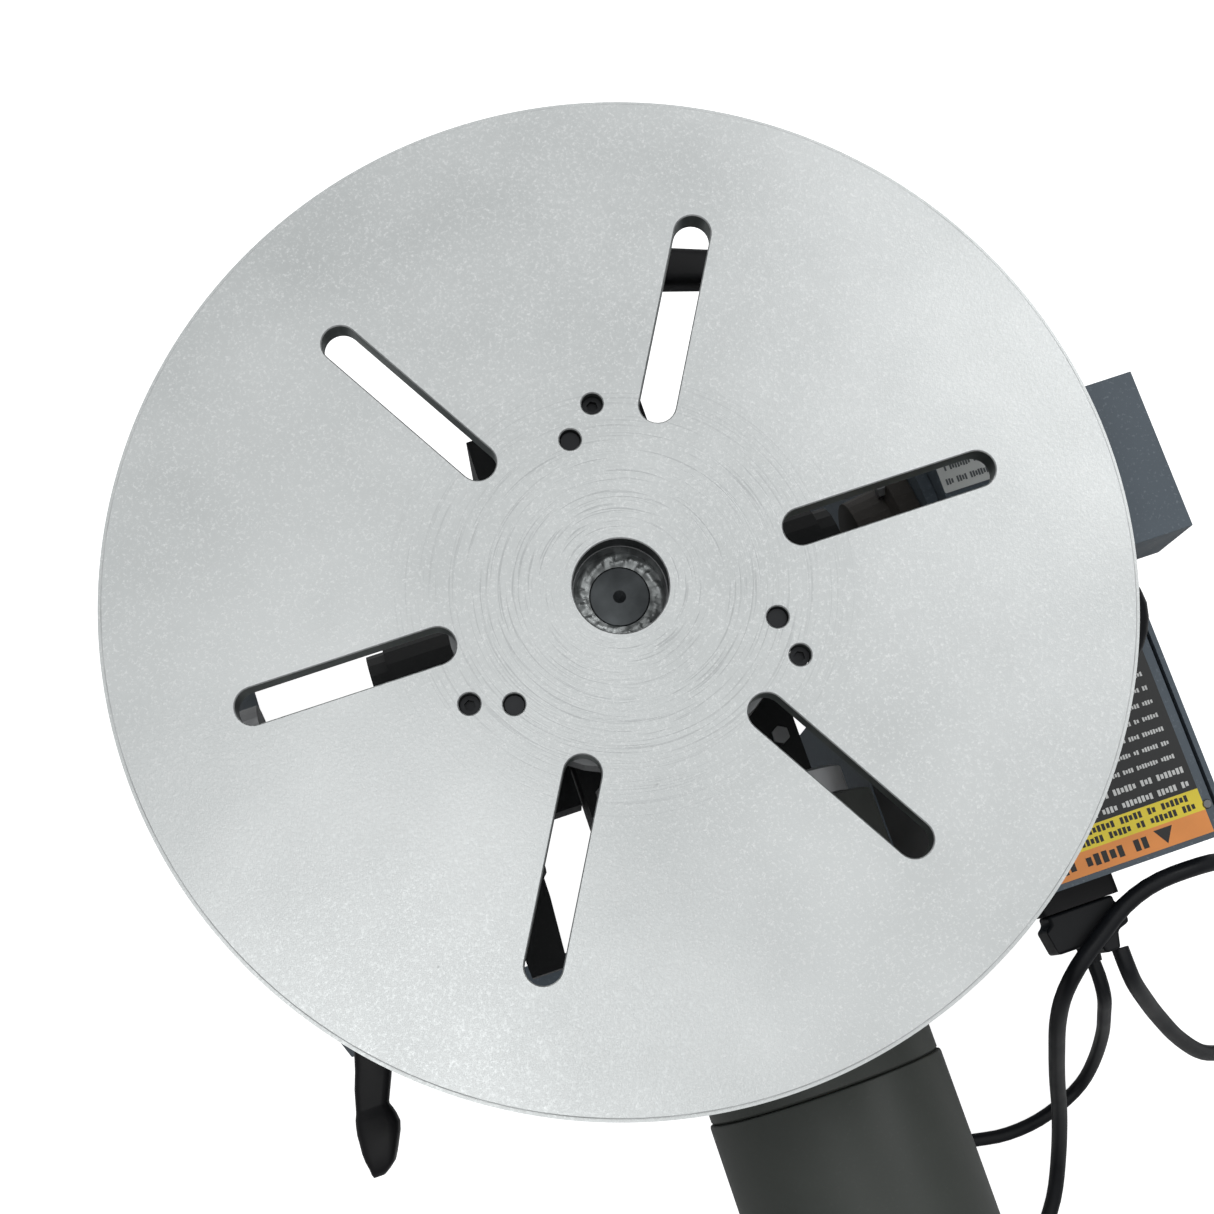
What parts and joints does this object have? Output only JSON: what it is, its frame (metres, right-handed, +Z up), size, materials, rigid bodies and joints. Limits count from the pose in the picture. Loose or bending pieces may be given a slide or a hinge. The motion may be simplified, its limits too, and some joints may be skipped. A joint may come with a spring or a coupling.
{
  "type": "tilting welding positioner",
  "caption": "Slotted round table on a worm gearbox with an electric motor, tilting between two side plates, with a power box and leads.",
  "frame": {"origin": "on the floor, under the table's axis at rest", "axes": "+Z up along the table's axis at rest, the operator stands at -Y, the motor points to +Y, the tilt axis is along X"},
  "size_m": [0.4983, 0.617, 0.345],
  "materials": {
    "ground_steel": "satin",
    "dark_steel": "satin",
    "bronze": "satin",
    "aluminium": "satin",
    "black_paint": "satin",
    "olive_grey_paint": "satin",
    "slate_paint": "satin",
    "cast_grey": "rough",
    "black_plastic": "satin",
    "black_rubber": "satin",
    "copper": "satin"
  },
  "bodies": {
    "base": {"clamp_spacer": "dark_steel", "power_supply": "aluminium", "right_side_plate": "slate_paint", "left_side_plate": "slate_paint", "front_cross_channel": "slate_paint", "rear_cross_channel": "slate_paint", "power_box": "slate_paint", "power_box_lid": "slate_paint", "control_housing": "slate_paint", "flange_bearing_right": "cast_grey", "flange_bearing_left": "cast_grey", "mains_inlet": "black_plastic", "foot_front_right": "black_rubber", "foot_rear_right": "black_rubber", "foot_front_left": "black_rubber", "foot_rear_left": "black_rubber", "appliance_plug": "black_rubber", "pedal_plug": "black_rubber", "control_cable": "black_rubber", "mains_lead": "black_rubber", "mains_coil": "black_rubber", "mains_plug": "black_rubber", "pedal_lead": "black_rubber", "pedal_coil": "black_rubber", "pedal_connector": "black_rubber"},
    "tilt": {"gearbox_housing": "black_paint", "gearbox_cover": "black_paint", "spindle_bearing_lower": "aluminium", "spindle_bearing_upper": "aluminium", "worm_bearing_front": "aluminium", "worm_bearing_rear": "aluminium", "adapter_flange": "aluminium", "gearhead_housing": "olive_grey_paint", "motor_front_bell": "olive_grey_paint", "motor_tube": "olive_grey_paint", "motor_stator": "copper", "motor_end_cap": "olive_grey_paint", "trunnion_right": "black_paint", "trunnion_left": "black_paint", "tilt_shaft_right": "dark_steel", "tilt_shaft_left": "dark_steel", "tilt_quadrant": "dark_steel", "hand_bar": "black_paint", "hand_grip": "black_plastic"},
    "table": {"table_plate": "ground_steel", "hub_flange": "dark_steel", "hub_bolt_1": "dark_steel", "hub_bolt_2": "dark_steel", "hub_bolt_3": "dark_steel", "spindle": "dark_steel", "worm_wheel": "bronze"},
    "worm": {"worm_shaft": "dark_steel", "reduction_gear": "dark_steel"},
    "rotor": {"rotor": "copper", "motor_pinion": "dark_steel"},
    "lever": {"lock_lever": "black_plastic", "lock_stud": "dark_steel"},
    "knob": {"speed_knob": "black_plastic"},
    "power_switch": {"power_rocker": "black_plastic"},
    "direction_switch": {"direction_rocker": "black_plastic"}
  },
  "joints": [
    {"name": "table_tilt", "type": "hinge", "parent": "base", "child": "tilt", "pos_m": [0, 0, 0.24], "axis": [1, 0, 0], "range_deg": [0, 90]},
    {"name": "table_spin", "type": "hinge", "parent": "tilt", "child": "table", "pos_m": [0, 0, 0.345], "axis": [0, 0, 1], "continuous": true},
    {"name": "worm_spin", "type": "hinge", "parent": "tilt", "child": "worm", "pos_m": [-0.038, 0, 0.228], "axis": [0, 1, 0], "continuous": true},
    {"name": "rotor_spin", "type": "hinge", "parent": "tilt", "child": "rotor", "pos_m": [-0.0226, 0, 0.228], "axis": [0, 1, 0], "continuous": true},
    {"name": "lock_turn", "type": "hinge", "parent": "base", "child": "lever", "pos_m": [0.178, 0.05989, 0.25605], "axis": [1, 0, 0], "range_deg": [-40, 20]},
    {"name": "speed_turn", "type": "hinge", "parent": "base", "child": "knob", "pos_m": [-0.165, -0.029, 0.27], "axis": [0, 1, 0], "range_deg": [0, 270]},
    {"name": "power_rock", "type": "hinge", "parent": "base", "child": "power_switch", "pos_m": [-0.216, -0.027, 0.27], "axis": [1, 0, 0], "range_deg": [0, 12]},
    {"name": "direction_rock", "type": "hinge", "parent": "base", "child": "direction_switch", "pos_m": [-0.192, -0.027, 0.27], "axis": [1, 0, 0], "range_deg": [-10, 10]}
  ],
  "couplings": [
    {"joint": "worm_spin", "follows": "table_spin", "ratio": -40},
    {"joint": "rotor_spin", "follows": "table_spin", "ratio": 120}
  ]
}
